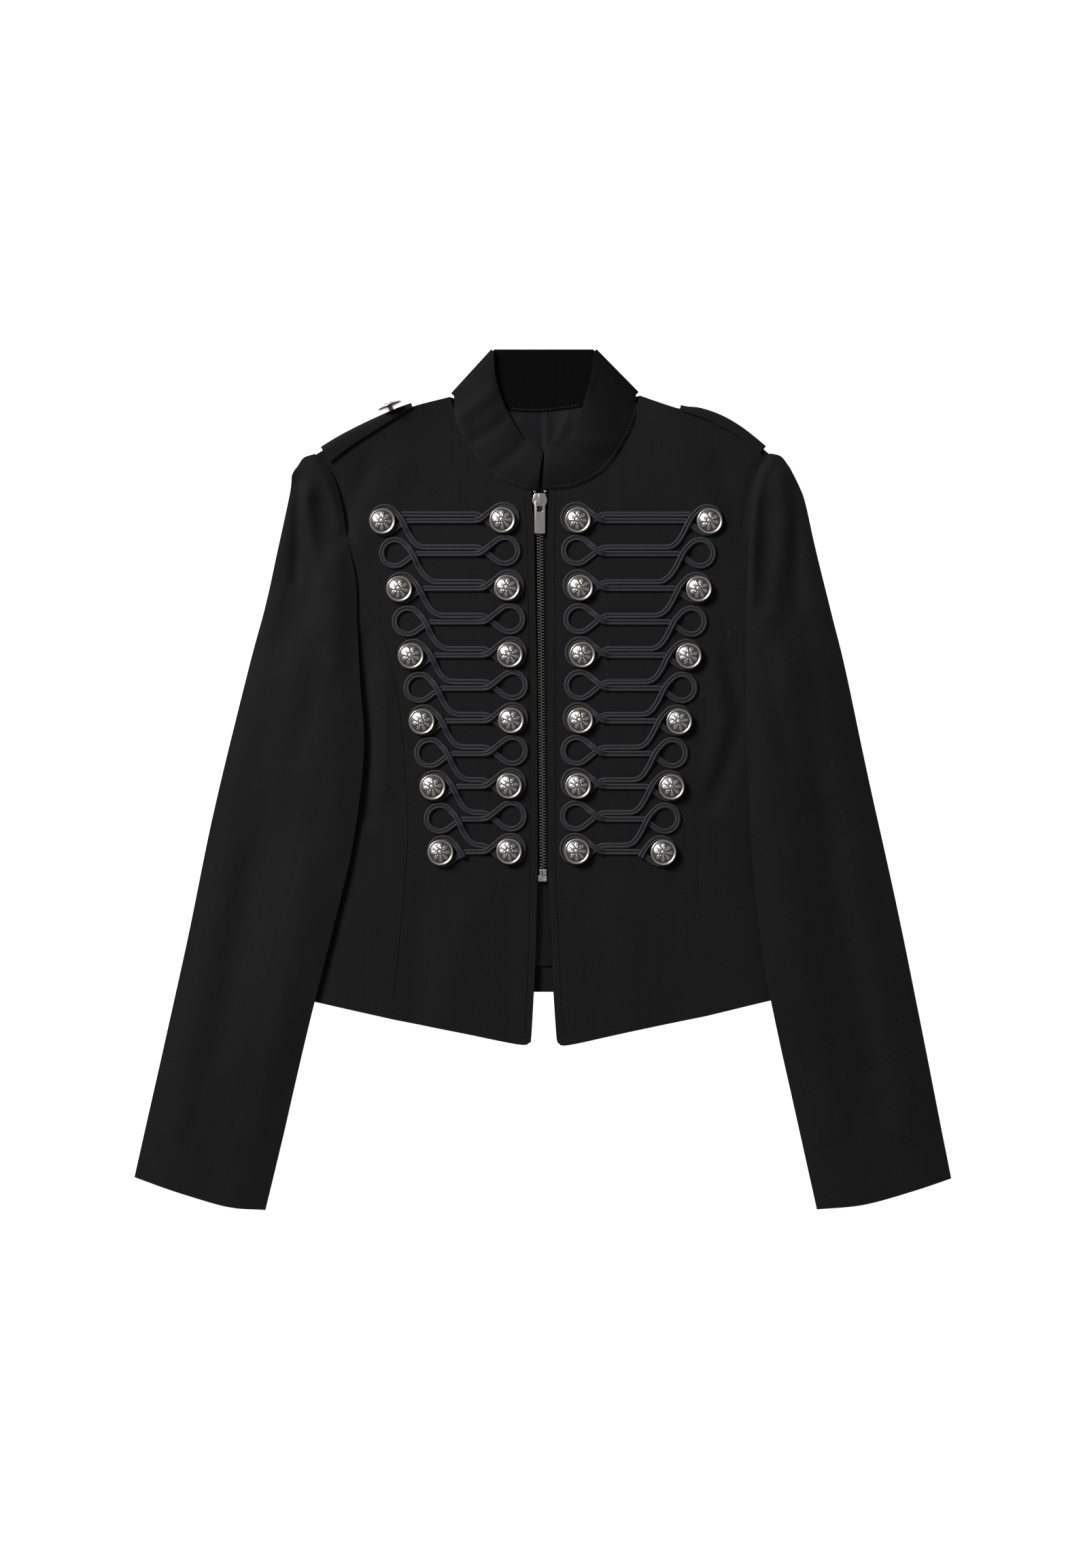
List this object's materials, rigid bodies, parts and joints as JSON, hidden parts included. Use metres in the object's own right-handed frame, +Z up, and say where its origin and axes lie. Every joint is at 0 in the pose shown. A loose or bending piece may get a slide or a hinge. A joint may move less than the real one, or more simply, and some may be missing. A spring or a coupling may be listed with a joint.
{
  "type": "blazer",
  "caption": "Cropped fitted blazer laid flat, with braid loops and domed metal buttons down both fronts, a short metal zip, stand collar, shoulder straps and long sleeves.",
  "frame": {"origin": "middle of the bounding box in plan, on the surface that the garment lies on", "axes": "+Z up from the surface, the side that the fronts face; +Y toward the collar; +X to the viewer's right"},
  "size_m": [0.6855, 0.7222, 0.0221],
  "materials": {
    "twill": "matte charcoal twill",
    "satin": "black satin lining",
    "soutache": "woven black braid",
    "zip_tape": "woven black tape",
    "nickel": "polished nickel",
    "antique_silver": "antique silver"
  },
  "bodies": {
    "garment": {"back": "twill", "back_lining": "satin", "braid_left": "soutache", "braid_right": "soutache", "button_left_inner_1": "antique_silver", "button_left_inner_2": "antique_silver", "button_left_inner_3": "antique_silver", "button_left_inner_4": "antique_silver", "button_left_inner_5": "antique_silver", "button_left_inner_6": "antique_silver", "button_left_outer_1": "antique_silver", "button_left_outer_2": "antique_silver", "button_left_outer_3": "antique_silver", "button_left_outer_4": "antique_silver", "button_left_outer_5": "antique_silver", "button_left_outer_6": "antique_silver", "button_right_inner_1": "antique_silver", "button_right_inner_2": "antique_silver", "button_right_inner_3": "antique_silver", "button_right_inner_4": "antique_silver", "button_right_inner_5": "antique_silver", "button_right_inner_6": "antique_silver", "button_right_outer_1": "antique_silver", "button_right_outer_2": "antique_silver", "button_right_outer_3": "antique_silver", "button_right_outer_4": "antique_silver", "button_right_outer_5": "antique_silver", "button_right_outer_6": "antique_silver", "button_strap": "antique_silver", "collar": "twill", "front_left": "twill", "front_right": "twill", "shoulder_strap_left": "twill", "shoulder_strap_right": "twill", "side_front_left": "twill", "side_front_right": "twill", "top_sleeve_left": "twill", "top_sleeve_right": "twill", "under_sleeve_left": "twill", "under_sleeve_right": "twill", "zip_box": "nickel", "zip_chain_left": "nickel", "zip_chain_right": "nickel", "zip_pin_left": "nickel", "zip_pin_right": "nickel", "zip_slider": "nickel", "zip_stop_left": "nickel", "zip_stop_right": "nickel", "zip_tape_left": "zip_tape", "zip_tape_right": "zip_tape"},
    "pull_tab": {"zip_pull": "nickel"}
  },
  "joints": [
    {"name": "pull_tab_hinge", "type": "hinge", "parent": "garment", "child": "pull_tab", "pos_m": [-0.0023, 0.2334, 0.0084], "axis": [-1, 0, 0], "range_deg": [0, 165]}
  ]
}
